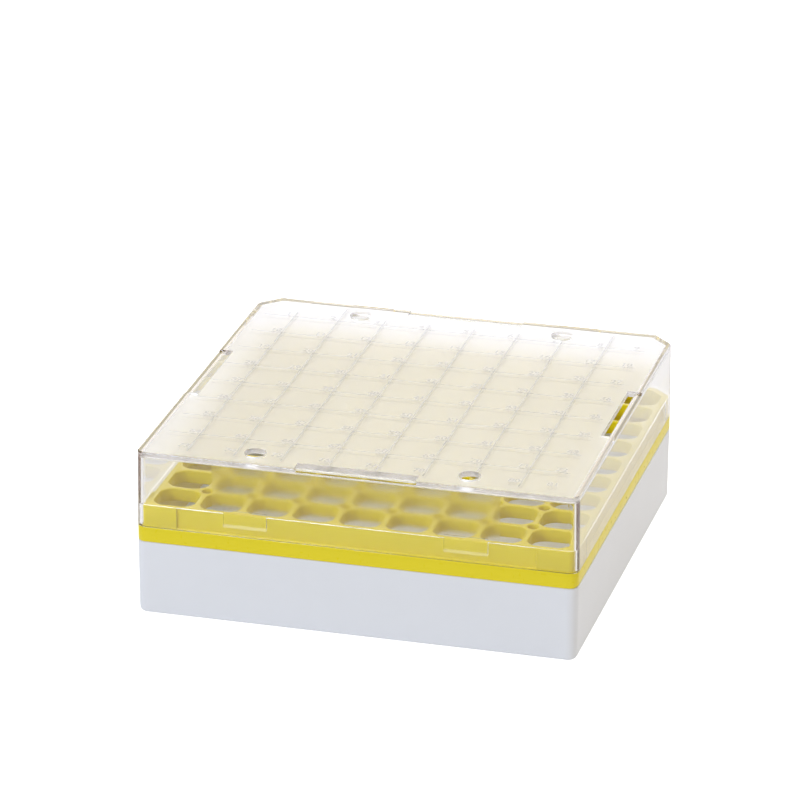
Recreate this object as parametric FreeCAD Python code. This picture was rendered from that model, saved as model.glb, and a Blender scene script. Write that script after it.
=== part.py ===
"""Cryogenic storage box for 81 vials: a white base tray, a yellow divider that holds the tubes,
and a clear lift-off lid. The three mouldings stack along Z and come apart upwards. The divider is
written as two sub-parts that meet face to face, its frame and the ribs inside it.

Frame: origin at the centre of the base's underside, +Z up, -Y towards the front,
and the two bevelled key corners at the back (+Y). Millimetres.
"""
import FreeCAD
import Part
import math
import os

Vector = FreeCAD.Vector

# Overall size and the heights of the joints between the mouldings
FOOTPRINT = 132.0
TOTAL_HEIGHT = 51.0
BASE_TOP_Z = 22.9
BAND_TOP_Z = 27.6
DIVIDER_TOP_Z = 33.9
LID_LEDGE_Z = 34.3

# Outline in plan, the same for all three mouldings
FRONT_CORNER_RADIUS = 3.0
KEY_BEVEL = 6.3
KEY_EDGE_RADIUS = 2.0
SMALLEST_PLAN_RADIUS = 0.8

# Base tray
BASE_DRAFT = 0.17
BASE_WALL = 2.0
BASE_FLOOR = 2.0
BASE_FOOT_RADIUS = 1.5
BASE_INSIDE_RADIUS = 0.7

# Divider
BAND_EDGE_RADIUS = 0.35
COLLAR_SETBACK = 1.6
COLLAR_RELIEF_DEPTH = 0.6
COLLAR_RELIEF_HALF_LENGTH = 53.7
SPIGOT_SETBACK = 2.3
SPIGOT_DEPTH = 4.0
CELLS_PER_SIDE = 9
CELL_PITCH = 14.0
RIB_WIDTH = 1.6
RIB_DEPTH = 4.0
CELL_CORNER_BEVEL = 2.7

# Lid
LID_DRAFT = 0.21
LID_WALL = 1.5
LID_TOP_THICKNESS = 1.7
LID_CEILING_RADIUS = 0.5
LID_EDGE_RADIUS = 0.5
SKIRT_WALL = 0.9
SKIRT_CORNER_WALL = 1.2
LUG_CENTRE = 33.0
LUG_WIDTH = 13.0
LUG_FACE = 64.15
LUG_FOOT_Z = 30.0
LUG_LEAD_IN = 0.8
LUG_TOP_Z = 35.2

# Vents in the lid's top, and the drains that match them in the base's floor
VENT_SLOT_LENGTH = 36.0
VENT_SLOT_WIDTH = 2.3
VENT_SLOT_OUTER_EDGE = 63.8
VENT_NOTCH_DEPTH = 0.6
VENT_HOLE_RADIUS = 3.3
VENT_HOLE_X = 32.0
VENT_HOLE_Y = 57.2

# How far a cutting or joining shape runs past the face it meets
OVERRUN = 1.0

HALF = FOOTPRINT / 2
GRID_HALF = CELLS_PER_SIDE * CELL_PITCH / 2 - RIB_WIDTH / 2
RIB_HALF = RIB_WIDTH / 2
CROSSING_HALF = RIB_HALF + CELL_CORNER_BEVEL
RIB_FOOT_Z = DIVIDER_TOP_Z - RIB_DEPTH
RIB_SPAN = CELL_PITCH - 2 * CROSSING_HALF


def rounded_wire(corners, z):
    """Closed outline at height z through corners given as (x, y, radius)."""
    arcs = []
    count = len(corners)
    for i in range(count):
        x, y, radius = corners[i]
        next_x, next_y, _ = corners[(i + 1) % count]
        here = Vector(x, y, z)
        back = Vector(corners[i - 1][0], corners[i - 1][1], z) - here
        ahead = Vector(next_x, next_y, z) - here
        back.normalize()
        ahead.normalize()
        half_angle = back.getAngle(ahead) / 2
        inward = back + ahead
        inward.normalize()
        middle = here + inward * (radius / math.sin(half_angle) - radius)
        setback = radius / math.tan(half_angle)
        arcs.append((here + back * setback, middle, here + ahead * setback))
    edges = []
    for i in range(count):
        start, middle, end = arcs[i]
        edges.append(Part.Arc(start, middle, end).toShape())
        edges.append(Part.makeLine(end, arcs[(i + 1) % count][0]))
    return Part.Wire(edges)


def keyed_outline(half, z):
    """The box's outline shrunk to a half width: round at the front, bevelled at the back."""
    inset = HALF - half
    radius = max(FRONT_CORNER_RADIUS - inset, SMALLEST_PLAN_RADIUS)
    edge_radius = max(KEY_EDGE_RADIUS - inset, SMALLEST_PLAN_RADIUS)
    bevel = KEY_BEVEL - inset * (2 - math.sqrt(2))
    return rounded_wire([
        (-half, -half, radius),
        (half, -half, radius),
        (half, half - bevel, edge_radius),
        (half - bevel, half, edge_radius),
        (-half + bevel, half, edge_radius),
        (-half, half - bevel, edge_radius),
    ], z)


def keyed_block(low_half, high_half, low_z, high_z):
    """Solid between two keyed outlines, drafted when their half widths differ."""
    wires = [keyed_outline(low_half, low_z), keyed_outline(high_half, high_z)]
    return Part.makeLoft(wires, True, True)


def edges_at(shape, z):
    """Every edge of a shape that lies flat at height z."""
    found = []
    for edge in shape.Edges:
        box = edge.BoundBox
        if abs(box.ZMin - z) < 1e-4 and abs(box.ZMax - z) < 1e-4:
            found.append(edge)
    return found


def block(x_range, y_range, z_range):
    """Rectangular solid between two coordinates on each axis."""
    size = [r[1] - r[0] for r in (x_range, y_range, z_range)]
    return Part.makeBox(*size, Vector(x_range[0], y_range[0], z_range[0]))


def prism(corners, low_z, high_z):
    """Upright solid over a plan outline given as (x, y) corners."""
    points = [Vector(x, y, low_z) for x, y in corners]
    face = Part.Face(Part.makePolygon(points + [points[0]]))
    return face.extrude(Vector(0, 0, high_z - low_z))


def beveled_prism(half, bevel, low_z, high_z):
    """Upright square solid centred on the Z axis, with its four corners bevelled."""
    flat = half - bevel
    return prism([(-flat, -half), (flat, -half), (half, -flat), (half, flat),
                  (flat, half), (-flat, half), (-half, flat), (-half, -flat)], low_z, high_z)


def turned(shape, quarter_turns):
    """Copy of a shape turned about the box's vertical axis."""
    copy = shape.copy()
    copy.rotate(Vector(0, 0, 0), Vector(0, 0, 1), 90 * quarter_turns)
    return copy


def vent_cutters(low_z, high_z):
    """Four slots beside the walls and four round holes, cut between two heights."""
    slot = block((-VENT_SLOT_LENGTH / 2, VENT_SLOT_LENGTH / 2),
                 (-VENT_SLOT_OUTER_EDGE, -VENT_SLOT_OUTER_EDGE + VENT_SLOT_WIDTH),
                 (low_z, high_z))
    cutters = [turned(slot, side) for side in range(4)]
    for x in (-VENT_HOLE_X, VENT_HOLE_X):
        for y in (-VENT_HOLE_Y, VENT_HOLE_Y):
            cutters.append(Part.makeCylinder(VENT_HOLE_RADIUS, high_z - low_z, Vector(x, y, low_z)))
    return cutters


def make_base_tray():
    """Open white tray with a flat floor and drains."""
    outer = keyed_block(HALF - BASE_DRAFT, HALF, 0, BASE_TOP_Z)
    outer = outer.makeFillet(BASE_FOOT_RADIUS, edges_at(outer, 0))
    outer = outer.makeFillet(BAND_EDGE_RADIUS, edges_at(outer, BASE_TOP_Z))
    inside = HALF - BASE_WALL
    cavity = keyed_block(inside - BASE_DRAFT, inside, BASE_FLOOR, BASE_TOP_Z)
    cavity = cavity.makeFillet(BASE_INSIDE_RADIUS, edges_at(cavity, BASE_FLOOR))
    return outer.cut(cavity).cut(vent_cutters(-OVERRUN, BASE_FLOOR + OVERRUN))


def make_divider_frame():
    """Band flush with the box's sides, a collar above it and a spigot below it."""
    band = keyed_block(HALF, HALF, BASE_TOP_Z, BAND_TOP_Z)
    band = band.makeFillet(BAND_EDGE_RADIUS, edges_at(band, BASE_TOP_Z) + edges_at(band, BAND_TOP_Z))
    collar_half = HALF - COLLAR_SETBACK
    collar = keyed_block(collar_half, collar_half, BAND_TOP_Z - OVERRUN, DIVIDER_TOP_Z)
    relief = block((-COLLAR_RELIEF_HALF_LENGTH, COLLAR_RELIEF_HALF_LENGTH),
                   (-collar_half - OVERRUN, -collar_half + COLLAR_RELIEF_DEPTH),
                   (BAND_TOP_Z, DIVIDER_TOP_Z + OVERRUN))
    collar = collar.cut([turned(relief, side) for side in range(4)])
    spigot_half = HALF - SPIGOT_SETBACK
    spigot = keyed_block(spigot_half, spigot_half, BASE_TOP_Z - SPIGOT_DEPTH, BASE_TOP_Z + OVERRUN)
    opening = beveled_prism(GRID_HALF, CELL_CORNER_BEVEL, BASE_TOP_Z - SPIGOT_DEPTH - OVERRUN,
                            DIVIDER_TOP_Z + OVERRUN)
    return band.fuse([collar, spigot]).cut(opening).removeSplitter()


def make_crossing():
    """Where two ribs cross: the bevelled corners of four cells, back to back."""
    return beveled_prism(CROSSING_HALF, CELL_CORNER_BEVEL, RIB_FOOT_Z, DIVIDER_TOP_Z)


def make_wall_junction():
    """Where a rib meets the frame's front wall, between the bevelled corners of two cells."""
    wall_y = -GRID_HALF
    return prism([(-CROSSING_HALF, wall_y), (CROSSING_HALF, wall_y),
                  (RIB_HALF, wall_y + CELL_CORNER_BEVEL), (-RIB_HALF, wall_y + CELL_CORNER_BEVEL)],
                 RIB_FOOT_Z, DIVIDER_TOP_Z)


def make_rib():
    """Straight length of rib along X, between two crossings, centred on the origin."""
    return block((-RIB_SPAN / 2, RIB_SPAN / 2), (-RIB_HALF, RIB_HALF), (RIB_FOOT_Z, DIVIDER_TOP_Z))


def make_divider_ribs():
    """The ribs that part the frame's opening into cells, as straight lengths and their junctions."""
    lines = [(i + 1 - CELLS_PER_SIDE / 2) * CELL_PITCH for i in range(CELLS_PER_SIDE - 1)]
    middles = [(i + 0.5 - CELLS_PER_SIDE / 2) * CELL_PITCH for i in range(CELLS_PER_SIDE)]
    crossing = make_crossing()
    junction = make_wall_junction()
    rib = make_rib()
    pieces = []
    for x in lines:
        for y in lines:
            pieces.append(crossing.translated(Vector(x, y, 0)))
        for side in range(4):
            pieces.append(turned(junction.translated(Vector(x, 0, 0)), side))
    for line in lines:
        for middle in middles:
            along_x = rib.translated(Vector(middle, line, 0))
            pieces.append(along_x)
            pieces.append(turned(along_x, 1))
    return Part.makeCompound(pieces)


def make_lug():
    """Snap lug inside the lid's front skirt, sloped underneath to ride over the collar."""
    wall = HALF - SKIRT_WALL
    root = wall + SKIRT_WALL / 2
    profile = [(root, LUG_FOOT_Z), (wall, LUG_FOOT_Z), (LUG_FACE, LUG_FOOT_Z + LUG_LEAD_IN),
               (LUG_FACE, LUG_TOP_Z), (root, LUG_TOP_Z)]
    points = [Vector(-LUG_WIDTH / 2, -y, z) for y, z in profile]
    face = Part.Face(Part.makePolygon(points + [points[0]]))
    return face.extrude(Vector(LUG_WIDTH, 0, 0))


def make_lid():
    """Clear cover: walls above an inside ledge, a thinner skirt, and lugs at front and back."""
    outer = keyed_block(HALF, HALF - LID_DRAFT, BAND_TOP_Z, TOTAL_HEIGHT)
    outer = outer.makeFillet(LID_EDGE_RADIUS, edges_at(outer, TOTAL_HEIGHT))
    inside = HALF - LID_WALL
    under_top = TOTAL_HEIGHT - LID_TOP_THICKNESS
    skirt = HALF - SKIRT_WALL
    cavity = keyed_block(inside, inside - LID_DRAFT, BAND_TOP_Z - OVERRUN, under_top)
    cavity = cavity.makeFillet(LID_CEILING_RADIUS, edges_at(cavity, under_top))
    skirt_corners = HALF - SKIRT_CORNER_WALL
    skirt_cavity = keyed_block(skirt_corners, skirt_corners, BAND_TOP_Z - OVERRUN, LID_LEDGE_Z)
    thinning = block((-COLLAR_RELIEF_HALF_LENGTH, COLLAR_RELIEF_HALF_LENGTH), (-skirt, 0),
                     (BAND_TOP_Z - OVERRUN, LID_LEDGE_Z))
    thinnings = [turned(thinning, side) for side in range(4)]
    lugs = []
    for side in (0, 2):
        for x in (-LUG_CENTRE, LUG_CENTRE):
            lugs.append(turned(make_lug().translated(Vector(x, 0, 0)), side))
    notch = block((-VENT_SLOT_LENGTH / 2, VENT_SLOT_LENGTH / 2),
                  (-HALF - OVERRUN, -VENT_SLOT_OUTER_EDGE + VENT_SLOT_WIDTH),
                  (TOTAL_HEIGHT - VENT_NOTCH_DEPTH, TOTAL_HEIGHT + OVERRUN))
    notches = [turned(notch, side) for side in range(4)]
    lid = outer.cut([cavity, skirt_cavity] + thinnings).fuse(lugs)
    return lid.cut(notches + vent_cutters(under_top - OVERRUN, TOTAL_HEIGHT + OVERRUN))


os.makedirs("parts", exist_ok=True)
make_base_tray().exportStep("parts/base_tray.step")
make_divider_frame().exportStep("parts/divider_frame.step")
make_divider_ribs().exportStep("parts/divider_ribs.step")
make_lid().exportStep("parts/lid.step")
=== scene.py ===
import math

import bmesh
import bpy
from mathutils import Matrix, Vector


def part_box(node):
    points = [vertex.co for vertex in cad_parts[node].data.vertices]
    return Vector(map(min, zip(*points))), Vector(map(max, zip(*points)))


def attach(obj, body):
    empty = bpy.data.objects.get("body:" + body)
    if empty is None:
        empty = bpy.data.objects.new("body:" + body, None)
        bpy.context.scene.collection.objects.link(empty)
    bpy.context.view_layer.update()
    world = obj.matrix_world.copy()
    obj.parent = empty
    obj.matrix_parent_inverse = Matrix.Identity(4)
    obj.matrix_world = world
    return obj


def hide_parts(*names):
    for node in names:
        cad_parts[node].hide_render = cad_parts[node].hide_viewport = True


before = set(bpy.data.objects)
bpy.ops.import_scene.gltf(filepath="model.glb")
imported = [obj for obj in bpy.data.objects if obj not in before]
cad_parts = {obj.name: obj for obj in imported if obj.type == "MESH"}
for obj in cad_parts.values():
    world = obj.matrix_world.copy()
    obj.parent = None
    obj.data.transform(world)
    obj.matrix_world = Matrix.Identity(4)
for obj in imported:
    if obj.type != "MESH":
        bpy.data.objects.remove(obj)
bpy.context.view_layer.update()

# Cryogenic storage box. Lengths are millimetres in the values below and metres in the meshes,
# in the CAD's own frame: +Z up, -Y towards the front, the bevelled key corners at the back.
MM = 0.001

# Read from the frame
BASE_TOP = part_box("base_tray")[1].z / MM
BAND_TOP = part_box("lid")[0].z / MM
BOX_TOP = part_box("lid")[1].z / MM
DIVIDER_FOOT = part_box("divider_frame")[0].z / MM
DIVIDER_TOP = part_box("divider_ribs")[1].z / MM
RIB_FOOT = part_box("divider_ribs")[0].z / MM
CELLS_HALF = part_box("divider_ribs")[1].x / MM
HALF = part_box("divider_frame")[1].x / MM

# Plan outline shared by the mouldings
FRONT_CORNER_RADIUS = 3.0
KEY_BEVEL = 6.3
KEY_EDGE_RADIUS = 2.0
LEAST_CORNER_RADIUS = 0.8
ARC_STEPS = 8

# Base tray
TRAY_WALL = 2.0
TRAY_FLOOR = 2.0

# Divider: the lattice of ribs
CELL_PITCH = 14.0
CELLS_PER_SIDE = 9
CELL_CORNER_RADIUS = 4.0
POCKET_RADIUS = 1.7
POCKET_DEPTH = 3.0
POCKET_FLOOR_OVERLAP = 0.2
CIRCLE_SIDES = 24
RIB_EDGE = 0.3
RIB_DROP = 0.02
LATTICE_OVERLAP = 1.1

# Divider: the spigot, band and collar round it
FRAME_INSIDE = CELLS_HALF + 0.05
SPIGOT_HALF = HALF - 2.3
SPIGOT_LEAD = 0.5
SPIGOT_LEAD_HEIGHT = 0.8
BAND_EDGE = 0.35
BAND_GAP = 0.3
COLLAR_HALF = HALF - 1.6
COLLAR_EDGE = 0.2
COLLAR_RELIEF = 0.6
RELIEF_HALF_LENGTH = 53.7
RELIEF_RUN = 0.15
MID_EDGE = 0.3
SHARP_ANGLE = 40

# Lid
LID_TOP_THICKNESS = 1.7
LID_WALL_INSIDE = 64.35
LID_LEDGE = 34.3
WINDOW_HALF = 43.0
VENT_HOLE_X = 32.0
VENT_HOLE_Y = 57.2
VENT_HOLE_RADIUS = 3.3
VENT_HOLE_CLEARANCE = 0.5

# Printing on the lid
PRINT_DEPTH = 0.01
PRINT_THICKNESS = 0.006
LINE_WIDTH = 0.50
LINE_PITCH = 14.12
FIRST_LINE_X = -51.5
FIRST_LINE_Y = 50.7
COLUMN_ENDS = (-61.3, 55.0)
LONG_COLUMNS = (1, 7)
LONG_COLUMN_END = 61.0
CUT_COLUMN_END = VENT_HOLE_Y - VENT_HOLE_RADIUS - VENT_HOLE_CLEARANCE
ROW_ENDS = (-61.2, 59.5)
FIGURE_HEIGHT = 2.5
CAPITAL_SHARE = 0.7
FIGURE_WEIGHT = 0.16
FIGURE_HALF_WIDTH = 1.5
FIGURE_FROM_LINE = (-2.2, 1.9)
LAST_FIGURE = (56.5, -57.4)
SHADOW_SHIFT = (0.38, -1.46)
SHADOW_LINE_WIDTH = 1.2

# How near, in millimetres, a point must be to a face to take that face's own finish
LEVEL_MATCH = 0.1
WALL_MATCH = 0.15

# Studio, in metres
FLOOR_REACH = 4.0
FLOOR_DROP = 0.0002
LIGHT_BOUNCES = 96

# Camera
CAMERA_AZIMUTH = 14.93
CAMERA_ELEVATION = 22.06
CAMERA_ROLL = 0.22
CAMERA_DISTANCE = 1504.5
CAMERA_AIM = (-4.04, 0.0, 48.08)
CAMERA_LENS = 226.9
CAMERA_SENSOR = 36.0


# ---------------------------------------------------------------- mesh helpers

def rounded(corners):
    """Points round a closed outline whose corners are given as (x, y, radius)."""
    points = []
    count = len(corners)
    for i in range(count):
        x, y, radius = corners[i]
        here = Vector((x, y))
        back = (Vector(corners[i - 1][:2]) - here).normalized()
        ahead = (Vector(corners[(i + 1) % count][:2]) - here).normalized()
        half_angle = back.angle(ahead) / 2
        centre = here + (back + ahead).normalized() * (radius / math.sin(half_angle))
        start = here + back * (radius / math.tan(half_angle)) - centre
        turn = start.angle_signed(here + ahead * (radius / math.tan(half_angle)) - centre)
        for step in range(ARC_STEPS + 1):
            angle = -turn * step / ARC_STEPS
            cos, sin = math.cos(angle), math.sin(angle)
            points.append((centre.x + start.x * cos - start.y * sin,
                           centre.y + start.x * sin + start.y * cos))
    return points


def keyed_outline(half, relief=0.0):
    """The box's outline at a half width, its sides set back between the corners by a relief."""
    inset = HALF - half
    radius = max(FRONT_CORNER_RADIUS - inset, LEAST_CORNER_RADIUS)
    edge = max(KEY_EDGE_RADIUS - inset, LEAST_CORNER_RADIUS)
    bevel = KEY_BEVEL - inset * (2 - math.sqrt(2))
    corners = [
        (-half, -half, radius), (half, -half, radius),
        (half, half - bevel, edge), (half - bevel, half, edge),
        (-half + bevel, half, edge), (-half, half - bevel, edge),
    ]
    points = rounded(corners)
    depth = half - relief
    out = RELIEF_HALF_LENGTH + RELIEF_RUN
    back = RELIEF_HALF_LENGTH - RELIEF_RUN
    front = [(-out, -half), (-back, -depth), (back, -depth), (out, -half)]
    right = [(-y, x) for x, y in front]
    rear = [(-x, -y) for x, y in front]
    left = [(y, -x) for x, y in front]
    n = ARC_STEPS + 1
    return (points[:n] + front + points[n:2 * n] + right + points[2 * n:4 * n] + rear
            + points[4 * n:6 * n] + left)


def new_object(name, data):
    """An object in the scene, made of given data."""
    obj = bpy.data.objects.new(name, data)
    bpy.context.scene.collection.objects.link(obj)
    return obj


def drop(obj):
    """Removes a helper object and its data."""
    data = obj.data
    bpy.data.objects.remove(obj)
    if isinstance(data, bpy.types.Mesh):
        bpy.data.meshes.remove(data)
    else:
        bpy.data.curves.remove(data)


def baked(obj):
    """Mesh of an object with its modifiers applied."""
    graph = bpy.context.evaluated_depsgraph_get()
    return bpy.data.meshes.new_from_object(obj.evaluated_get(graph))


def plate(name, outlines, low, high, edge):
    """Flat plate between two heights: the first outline is its rim and the rest are holes."""
    curve = bpy.data.curves.new(name, "CURVE")
    curve.dimensions = "2D"
    curve.fill_mode = "BOTH"
    for outline in outlines:
        spline = curve.splines.new("POLY")
        spline.points.add(len(outline) - 1)
        for point, (x, y) in zip(spline.points, outline):
            point.co = (x * MM, y * MM, 0, 1)
        spline.use_cyclic_u = True
    curve.extrude = ((high - low) / 2 - edge) * MM
    curve.bevel_depth = edge * MM
    curve.bevel_resolution = 2
    curve.offset = -edge * MM
    obj = new_object(name, curve)
    mesh = baked(obj)
    drop(obj)
    mesh.transform(Matrix.Translation((0, 0, (low + high) / 2 * MM)))
    return mesh


def tidy(mesh):
    """Joins doubled vertices and turns every face outwards."""
    work = bmesh.new()
    work.from_mesh(mesh)
    bmesh.ops.remove_doubles(work, verts=work.verts, dist=1e-6)
    bmesh.ops.recalc_face_normals(work, faces=work.faces)
    work.to_mesh(mesh)
    work.free()


def tube(name, outer_rows, inner_rows):
    """Closed ring between outer and inner rows of (outline, z), given from the foot upwards.

    Every outline has the same number of points.
    """
    work = bmesh.new()
    loops = []
    for outline, z in outer_rows + inner_rows[::-1]:
        loops.append([work.verts.new((x * MM, y * MM, z * MM)) for x, y in outline])
    for low, high in zip(loops, loops[1:] + loops[:1]):
        for i in range(len(low)):
            j = (i + 1) % len(low)
            work.faces.new((low[i], low[j], high[j], high[i]))
    mesh = bpy.data.meshes.new(name)
    work.to_mesh(mesh)
    work.free()
    return mesh


def boolean(obj, other, operation):
    """Applies a boolean with another object, which is then removed."""
    modifier = obj.modifiers.new(operation, "BOOLEAN")
    modifier.operation = operation
    modifier.solver = "EXACT"
    modifier.object = other
    mesh = baked(obj)
    obj.modifiers.clear()
    old = obj.data
    obj.data = mesh
    bpy.data.meshes.remove(old)
    drop(other)


# ---------------------------------------------------------------- divider

def cell_outline(column, row):
    """Round-cornered opening of one cell, columns from the left and rows from the back."""
    middle = (CELLS_PER_SIDE - 1) / 2
    x = (column - middle) * CELL_PITCH
    y = (middle - row) * CELL_PITCH
    half = CELLS_HALF - middle * CELL_PITCH
    return rounded([(x + sx * half, y + sy * half, CELL_CORNER_RADIUS)
                    for sx, sy in ((-1, -1), (1, -1), (1, 1), (-1, 1))])


def crossings():
    """Places where two ribs cross."""
    lines = [(i + 1 - CELLS_PER_SIDE / 2) * CELL_PITCH for i in range(CELLS_PER_SIDE - 1)]
    return [(x, y) for x in lines for y in lines]


def circle(x, y, radius):
    """Points round a circle."""
    turns = [2 * math.pi * k / CIRCLE_SIDES for k in range(CIRCLE_SIDES)]
    return [(x + radius * math.cos(turn), y + radius * math.sin(turn)) for turn in turns]


def lattice_mesh():
    """The ribs between the cells, as one plate with 81 openings and a pocket at each crossing."""
    rim = keyed_outline(CELLS_HALF + LATTICE_OVERLAP)
    cells = [cell_outline(c, r) for c in range(CELLS_PER_SIDE) for r in range(CELLS_PER_SIDE)]
    pockets = [circle(x, y, POCKET_RADIUS) for x, y in crossings()]
    return plate("lattice", [rim] + cells + pockets, RIB_FOOT, DIVIDER_TOP - RIB_DROP, RIB_EDGE)


def add_pocket_floors(mesh):
    """Closes the foot of every pocket with a disc set into its wall."""
    work = bmesh.new()
    work.from_mesh(mesh)
    low = RIB_FOOT + RIB_EDGE
    high = DIVIDER_TOP - POCKET_DEPTH
    radius = (POCKET_RADIUS + POCKET_FLOOR_OVERLAP) * MM
    for x, y in crossings():
        place = Matrix.Translation((x * MM, y * MM, (low + high) / 2 * MM))
        bmesh.ops.create_cone(work, cap_ends=True, segments=CIRCLE_SIDES, radius1=radius,
                              radius2=radius, depth=(high - low) * MM, matrix=place)
    work.to_mesh(mesh)
    work.free()


def rounded_edge(half, edge, relief=0.0):
    """Outlines at the start, middle and end of a softened edge, from the face inwards."""
    return [keyed_outline(half - edge * share, relief) for share in (0.0, MID_EDGE, 1.0)]


def frame_mesh():
    """The band, collar and spigot round the lattice, with softened edges."""
    spigot = keyed_outline(SPIGOT_HALF)
    band, band_mid, band_in = rounded_edge(HALF, BAND_EDGE)
    collar, collar_mid, collar_in = rounded_edge(COLLAR_HALF, COLLAR_EDGE, COLLAR_RELIEF)
    inner = keyed_outline(FRAME_INSIDE)
    rows = [
        (keyed_outline(SPIGOT_HALF - SPIGOT_LEAD), DIVIDER_FOOT),
        (spigot, DIVIDER_FOOT + SPIGOT_LEAD_HEIGHT),
        (spigot, BASE_TOP),
        (band_in, BASE_TOP),
        (band_mid, BASE_TOP + BAND_EDGE * MID_EDGE),
        (band, BASE_TOP + BAND_EDGE),
        (band, BAND_TOP - BAND_EDGE),
        (band_mid, BAND_TOP - BAND_EDGE * MID_EDGE),
        (band_in, BAND_TOP),
        (collar, BAND_TOP),
        (collar, DIVIDER_TOP - COLLAR_EDGE),
        (collar_mid, DIVIDER_TOP - COLLAR_EDGE * MID_EDGE),
        (collar_in, DIVIDER_TOP),
    ]
    return tube("divider", rows, [(inner, DIVIDER_FOOT), (inner, DIVIDER_TOP)])


def open_gap(mesh):
    """Lifts the foot of the band along the right side, where it doesn't quite meet the base."""
    for vert in mesh.vertices:
        on_right = vert.co.x > (HALF - 2 * BAND_EDGE) * MM
        at_foot = abs(vert.co.z - BASE_TOP * MM) < 1.5 * BAND_EDGE * MM
        if on_right and at_foot:
            vert.co.z += BAND_GAP * MM


def make_divider():
    """The yellow moulding: its frame joined to the lattice, and the pockets closed below."""
    divider = new_object("tube_divider", frame_mesh())
    tidy(divider.data)
    open_gap(divider.data)
    lattice = new_object("lattice", lattice_mesh())
    tidy(lattice.data)
    boolean(divider, lattice, "UNION")
    add_pocket_floors(divider.data)
    divider.data.shade_smooth()
    divider.data.set_sharp_from_angle(angle=math.radians(SHARP_ANGLE))
    return divider


# ---------------------------------------------------------------- printing on the lid

def bar(work, x_range, y_range, z_range):
    """Thin flat bar added to a bmesh."""
    made = bmesh.ops.create_cube(work, size=1.0)
    size = Vector((x_range[1] - x_range[0], y_range[1] - y_range[0], z_range[1] - z_range[0]))
    centre = Vector((sum(x_range) / 2, sum(y_range) / 2, sum(z_range) / 2))
    for vert in made["verts"]:
        vert.co = Vector(vert.co[i] * size[i] + centre[i] for i in range(3)) * MM


def figure_mesh(text, x, y, z):
    """A number as a thin solid, centred on a place and facing up."""
    font = bpy.data.curves.new("figure", "FONT")
    font.body = text
    font.size = FIGURE_HEIGHT / CAPITAL_SHARE * MM
    font.align_x = "CENTER"
    font.align_y = "CENTER"
    font.offset = FIGURE_WEIGHT * MM
    font.extrude = PRINT_THICKNESS / 2 * MM
    font.resolution_u = 3
    obj = new_object("figure", font)
    mesh = baked(obj)
    drop(obj)
    mesh.transform(Matrix.Translation((x * MM, y * MM, z * MM)))
    return mesh


def beside_vent_hole(x, reach):
    """Whether something centred at an x would lie over the round vent holes."""
    return abs(abs(x) - VENT_HOLE_X) < VENT_HOLE_RADIUS + reach


def line_places(first, step):
    """Places of the fine lines along one axis."""
    return [first + i * step for i in range(CELLS_PER_SIDE - 1)]


def add_lines(work, lines_x, lines_y, line_width, z_range):
    """Fine lines both ways, kept clear of the vents."""
    half = line_width / 2
    for i, x in enumerate(lines_x):
        ends = COLUMN_ENDS
        if i in LONG_COLUMNS:
            ends = (COLUMN_ENDS[0], LONG_COLUMN_END)
        if beside_vent_hole(x, half):
            ends = (-CUT_COLUMN_END, CUT_COLUMN_END)
        bar(work, (x - half, x + half), ends, z_range)
    for y in lines_y:
        bar(work, ROW_ENDS, (y - half, y + half), z_range)


def add_figures(work, columns, rows, z):
    """The numbers 1 to 81, but for the one that would lie over a vent hole."""
    for r, y in enumerate(rows):
        for c, x in enumerate(columns):
            if y < -CUT_COLUMN_END and beside_vent_hole(x, FIGURE_HALF_WIDTH):
                continue
            number = figure_mesh(str(r * CELLS_PER_SIDE + c + 1), x, y, z)
            work.from_mesh(number)
            bpy.data.meshes.remove(number)


def add_print(work, top, shift, line_width, material):
    """One layer of the grid: nine by nine numbered places, divided by fine lines; drawn once as the
    ink and once as its painted shadow.
    """
    before = len(work.faces)
    lines_x = line_places(FIRST_LINE_X + shift[0], LINE_PITCH)
    lines_y = line_places(FIRST_LINE_Y + shift[1], -LINE_PITCH)
    add_lines(work, lines_x, lines_y, line_width, (top - PRINT_THICKNESS, top))
    columns = [x + FIGURE_FROM_LINE[0] for x in lines_x] + [LAST_FIGURE[0] + shift[0]]
    rows = [y + FIGURE_FROM_LINE[1] for y in lines_y] + [LAST_FIGURE[1] + shift[1]]
    add_figures(work, columns, rows, top - PRINT_THICKNESS / 2)
    work.faces.ensure_lookup_table()
    for face in work.faces[before:]:
        face.material_index = material


def make_print():
    """The ink just inside the lid's top, and a painted shadow: a fainter, wider, shifted olive copy
    of the print just above the frosted underside, for the soft shadow the ink throws there.
    """
    work = bmesh.new()
    add_print(work, BOX_TOP - PRINT_DEPTH, (0, 0), LINE_WIDTH, 0)
    # Painted shadow: a second copy of the print, wider and fainter, set just above the underside and
    # shifted towards the front.
    underside = BOX_TOP - LID_TOP_THICKNESS
    add_print(work, underside + PRINT_DEPTH + PRINT_THICKNESS, SHADOW_SHIFT, SHADOW_LINE_WIDTH, 1)
    mesh = bpy.data.meshes.new("lid_print")
    work.to_mesh(mesh)
    work.free()
    mesh.materials.append(print_coat("print_coat", 0.21, (0.31, 0.28, 0.31), (0.39, 0.36, 0.39)))
    # The painted shadow's olive colour stands in for the yellow that shows where the print's shadow
    # falls.
    mesh.materials.append(print_coat("print_shadow", 0.055, (0.30, 0.27, 0.10), (0.36, 0.33, 0.14)))
    return new_object("lid_print", mesh)


# ---------------------------------------------------------------- materials

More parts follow.
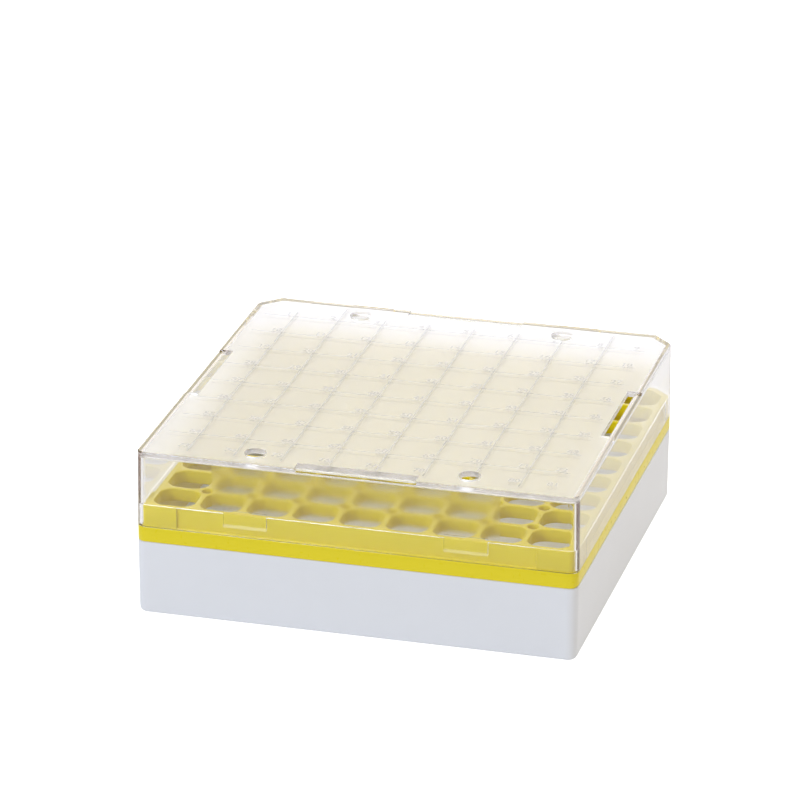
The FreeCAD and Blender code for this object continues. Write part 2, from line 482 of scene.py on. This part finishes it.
class Shader:
    """A material with a Principled shader, and short calls for the nodes that feed it."""

    def __init__(self, name, **values):
        self.material = bpy.data.materials.new(name)
        self.material.use_nodes = True
        self.tree = self.material.node_tree
        self.principled = self.tree.nodes["Principled BSDF"]
        for socket, value in values.items():
            self.principled.inputs[socket.replace("_", " ")].default_value = value

    def node(self, kind, **settings):
        made = self.tree.nodes.new(kind)
        for key, value in settings.items():
            setattr(made, key, value)
        return made

    def link(self, source, target):
        self.tree.links.new(source, target)

    def math(self, operation, first, second=0.0, third=0.0):
        made = self.node("ShaderNodeMath", operation=operation)
        for socket, value in zip(made.inputs, (first, second, third)):
            if isinstance(value, (int, float)):
                socket.default_value = value
            else:
                self.link(value, socket)
        return made.outputs[0]

    def place(self):
        """X, Y and Z sockets of a point's place in the row's frame, in metres."""
        coordinate = self.node("ShaderNodeTexCoord")
        split = self.node("ShaderNodeSeparateXYZ")
        self.link(coordinate.outputs["Object"], split.inputs[0])
        return split.outputs

    def noise(self, scale, detail=2.0):
        coordinate = self.node("ShaderNodeTexCoord")
        made = self.node("ShaderNodeTexNoise")
        made.inputs["Scale"].default_value = scale
        made.inputs["Detail"].default_value = detail
        self.link(coordinate.outputs["Object"], made.inputs["Vector"])
        return made.outputs["Fac"]

    def ramp(self, source, low, high):
        made = self.node("ShaderNodeMapRange")
        self.link(source, made.inputs["Value"])
        made.inputs["To Min"].default_value = low
        made.inputs["To Max"].default_value = high
        return made.outputs["Result"]

    def blend(self, factor, first, second):
        made = self.node("ShaderNodeMix", data_type="RGBA")
        self.link(factor, made.inputs["Factor"])
        for name, colour in (("A", first), ("B", second)):
            if isinstance(colour, tuple):
                made.inputs[name].default_value = (*colour, 1)
            else:
                self.link(colour, made.inputs[name])
        return made.outputs["Result"]

    def grain(self, source, strength, distance):
        made = self.node("ShaderNodeBump")
        made.inputs["Strength"].default_value = strength
        made.inputs["Distance"].default_value = distance * MM
        self.link(source, made.inputs["Height"])
        self.link(made.outputs["Normal"], self.principled.inputs["Normal"])


def white_plastic():
    """Satin white, a little brighter on the tray's inside floor, where the brighter colour is
    painted light standing in for light let down through the yellow ribs.
    """
    made = Shader("white_plastic", IOR=1.5)
    x, y, z = made.place()
    walls = made.blend(made.noise(90.0), (0.835, 0.84, 0.85), (0.86, 0.865, 0.875))
    reach = made.math("MAXIMUM", made.math("ABSOLUTE", x), made.math("ABSOLUTE", y))
    inside = made.math("LESS_THAN", reach, (HALF - TRAY_WALL) * MM)
    at_floor = made.math("COMPARE", z, TRAY_FLOOR * MM, LEVEL_MATCH * MM)
    painted_light_floor = made.math("MULTIPLY", inside, at_floor)
    # Painted light: the tray's inside floor gets a brighter, slightly warm colour for the light that
    # reaches it through the ribs.
    made.link(made.blend(painted_light_floor, walls, (0.93, 0.935, 0.92)), made.principled.inputs["Base Color"])
    made.link(made.ramp(made.noise(900.0), 0.34, 0.44), made.principled.inputs["Roughness"])
    made.grain(made.noise(2500.0, 3.0), 0.15, 0.02)
    return made.material


def yellow_plastic():
    """Glossy yellow, a little deeper where the lid covers it and less light gets in: this deeper
    colour is painted shade.
    """
    made = Shader("yellow_plastic", IOR=1.38)
    x, y, z = made.place()
    tone = made.noise(60.0)
    outside = made.blend(tone, (0.87, 0.71, 0.015), (0.89, 0.73, 0.018))
    # Painted shade: a darker copy of the yellow for the ribs and the collar under the lid.
    inside = made.blend(tone, (0.74, 0.575, 0.003), (0.76, 0.595, 0.004))
    reach = made.math("MAXIMUM", made.math("ABSOLUTE", x), made.math("ABSOLUTE", y))
    on_ribs = made.math("LESS_THAN", reach, (CELLS_HALF + 0.3) * MM)
    painted_shade_under_lid = made.math("MAXIMUM", on_ribs, made.math("GREATER_THAN", z, (BAND_TOP + 0.05) * MM))
    made.link(made.blend(painted_shade_under_lid, outside, inside), made.principled.inputs["Base Color"])
    made.link(made.ramp(made.noise(700.0), 0.24, 0.34), made.principled.inputs["Roughness"])
    made.grain(made.noise(2200.0, 3.0), 0.10, 0.015)
    return made.material


def clear_plastic():
    """Clear moulding, frosted under its top and on a window in its front."""
    made = Shader("clear_plastic", IOR=1.585, Transmission_Weight=1.0)
    made.principled.inputs["Base Color"].default_value = (0.99, 0.988, 0.99, 1)
    x, y, z = made.place()
    under_top = made.math("COMPARE", z, (BOX_TOP - LID_TOP_THICKNESS) * MM, LEVEL_MATCH * MM)
    front = made.math("COMPARE", y, -LID_WALL_INSIDE * MM, WALL_MATCH * MM)
    between = made.math("LESS_THAN", made.math("ABSOLUTE", x), WINDOW_HALF * MM)
    above_ledge = made.math("GREATER_THAN", z, (LID_LEDGE + LEVEL_MATCH) * MM)
    on_window = made.math("MULTIPLY", made.math("MULTIPLY", front, between), above_ledge)
    roughness = made.math("MULTIPLY_ADD", under_top, 0.47, 0.03)
    roughness = made.math("MULTIPLY_ADD", on_window, 0.19, roughness)
    made.link(roughness, made.principled.inputs["Roughness"])
    made.grain(made.math("MULTIPLY", made.noise(1500.0), on_window), 0.5, 0.03)
    absorb = made.node("ShaderNodeVolumeAbsorption")
    absorb.inputs["Color"].default_value = (0.50, 0.34, 0.31, 1)
    absorb.inputs["Density"].default_value = 14.0
    output = made.tree.nodes["Material Output"]
    made.link(absorb.outputs["Volume"], output.inputs["Volume"])
    return made.material


def print_coat(name, cover, low, high):
    """Thin coat that the plastic shows through, with a given cover: the printed ink, and also the
    painted shadow of the print.
    """
    made = Shader(name, Roughness=0.6, Alpha=cover)
    # The same coat serves for the real ink and for the painted shadow of the print.
    made.link(made.blend(made.noise(400.0), low, high), made.principled.inputs["Base Color"])
    return made.material


def floor_paper():
    """White sweep that glows as painted light: its glow is bright behind the box and dimmer in front
    of it, and it shows pure white to the camera.
    """
    made = Shader("floor_paper", Roughness=0.9)
    made.link(made.blend(made.noise(30.0), (0.78, 0.78, 0.78), (0.80, 0.80, 0.80)),
              made.principled.inputs["Base Color"])
    made.principled.inputs["Emission Color"].default_value = (1, 1, 1, 1)
    x, y, _ = made.place()
    # Painted light: the floor's glow is graded so that it lights the box more from behind and less
    # from the front and the right.
    painted_glow = made.node("ShaderNodeMapRange", interpolation_type="SMOOTHSTEP")
    made.link(made.math("MULTIPLY_ADD", x, -0.35, y), painted_glow.inputs["Value"])
    for name, value in (("From Min", -0.25), ("From Max", 0.25), ("To Min", 0.20), ("To Max", 0.28)):
        painted_glow.inputs[name].default_value = value
    seen = made.node("ShaderNodeLightPath").outputs["Is Camera Ray"]
    made.link(made.math("MAXIMUM", seen, painted_glow.outputs["Result"]),
              made.principled.inputs["Emission Strength"])
    return made.material


def dress(obj, material):
    """Gives every material slot of an object one material."""
    if not obj.material_slots:
        obj.data.materials.append(material)
    for slot in obj.material_slots:
        slot.material = material


# ---------------------------------------------------------------- studio

def aimed(place, target):
    """Matrix at a place, in metres, looking at a target along its own -Z."""
    look = (Vector(target) - Vector(place)).to_track_quat("-Z", "Y")
    return Matrix.Translation(place) @ look.to_matrix().to_4x4()


def softbox(name, place, target, size, watts, colour=(1, 1, 1)):
    """Soft rectangular lamp at a place, in metres, aimed at a target."""
    light = bpy.data.lights.new(name, "AREA")
    light.shape = "RECTANGLE"
    light.size, light.size_y = size
    light.energy = watts
    light.color = colour
    new_object(name, light).matrix_world = aimed(place, target)


def make_floor():
    """Wide paper just under the box."""
    mesh = bpy.data.meshes.new("floor")
    work = bmesh.new()
    bmesh.ops.create_grid(work, x_segments=4, y_segments=4, size=FLOOR_REACH)
    work.to_mesh(mesh)
    work.free()
    floor = new_object("floor", mesh)
    floor.location.z = -FLOOR_DROP
    dress(floor, floor_paper())


def make_lights():
    """Four soft lamps, the largest behind the box, and a dim warm surround."""
    centre = (0, 0, 0.03)
    softbox("back_light", (0.1, 1.5, 0.75), centre, (2.6, 1.3), 19.6, (0.97, 0.99, 1.06))
    softbox("top_light", (0.0, 0.1, 1.6), centre, (1.2, 1.2), 4)
    softbox("right_fill", (1.7, -0.4, 0.8), centre, (1.0, 0.8), 3, (1.0, 0.98, 0.93))
    softbox("front_fill", (-0.9, -1.6, 0.9), centre, (1.0, 0.8), 14, (0.80, 0.94, 1.20))
    world = bpy.data.worlds.new("studio")
    world.use_nodes = True
    world.node_tree.nodes["Background"].inputs["Color"].default_value = (0.34, 0.31, 0.27, 1)
    world.node_tree.nodes["Background"].inputs["Strength"].default_value = 1.0
    bpy.context.scene.world = world


def make_camera():
    """Camera at a distance from its aim, along a direction given by azimuth and elevation."""
    azimuth, elevation, roll = (math.radians(a) for a in
                                (CAMERA_AZIMUTH, CAMERA_ELEVATION, CAMERA_ROLL))
    back = Vector((math.sin(azimuth) * math.cos(elevation), -math.cos(azimuth) * math.cos(elevation),
                   math.sin(elevation)))
    right = back.cross(Vector((0, 0, -1))).normalized()
    up = back.cross(right)
    turned_right = right * math.cos(roll) + up * math.sin(roll)
    turned_up = up * math.cos(roll) - right * math.sin(roll)
    data = bpy.data.cameras.new("camera")
    data.lens = CAMERA_LENS
    data.sensor_width = CAMERA_SENSOR
    data.clip_start = 0.05
    data.clip_end = 20.0
    camera = new_object("camera", data)
    place = (Vector(CAMERA_AIM) + back * CAMERA_DISTANCE) * MM
    axes = Matrix((turned_right, turned_up, back)).transposed().to_4x4()
    camera.matrix_world = Matrix.Translation(place) @ axes
    bpy.context.scene.camera = camera


# ---------------------------------------------------------------- the scene

divider = make_divider()
dress(divider, yellow_plastic())
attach(divider, "divider")
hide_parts("divider_frame", "divider_ribs")

dress(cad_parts["base_tray"], white_plastic())
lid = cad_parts["lid"]
dress(lid, clear_plastic())
lid.visible_shadow = False

printing = make_print()
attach(printing, "cover")

make_floor()
make_lights()
make_camera()
bpy.context.scene.view_settings.view_transform = "Standard"
# Light turns many times inside the lid's thin walls; with fewer bounces its corners go black.
cycles = bpy.context.scene.cycles
cycles.max_bounces = LIGHT_BOUNCES
cycles.transmission_bounces = LIGHT_BOUNCES
cycles.glossy_bounces = LIGHT_BOUNCES
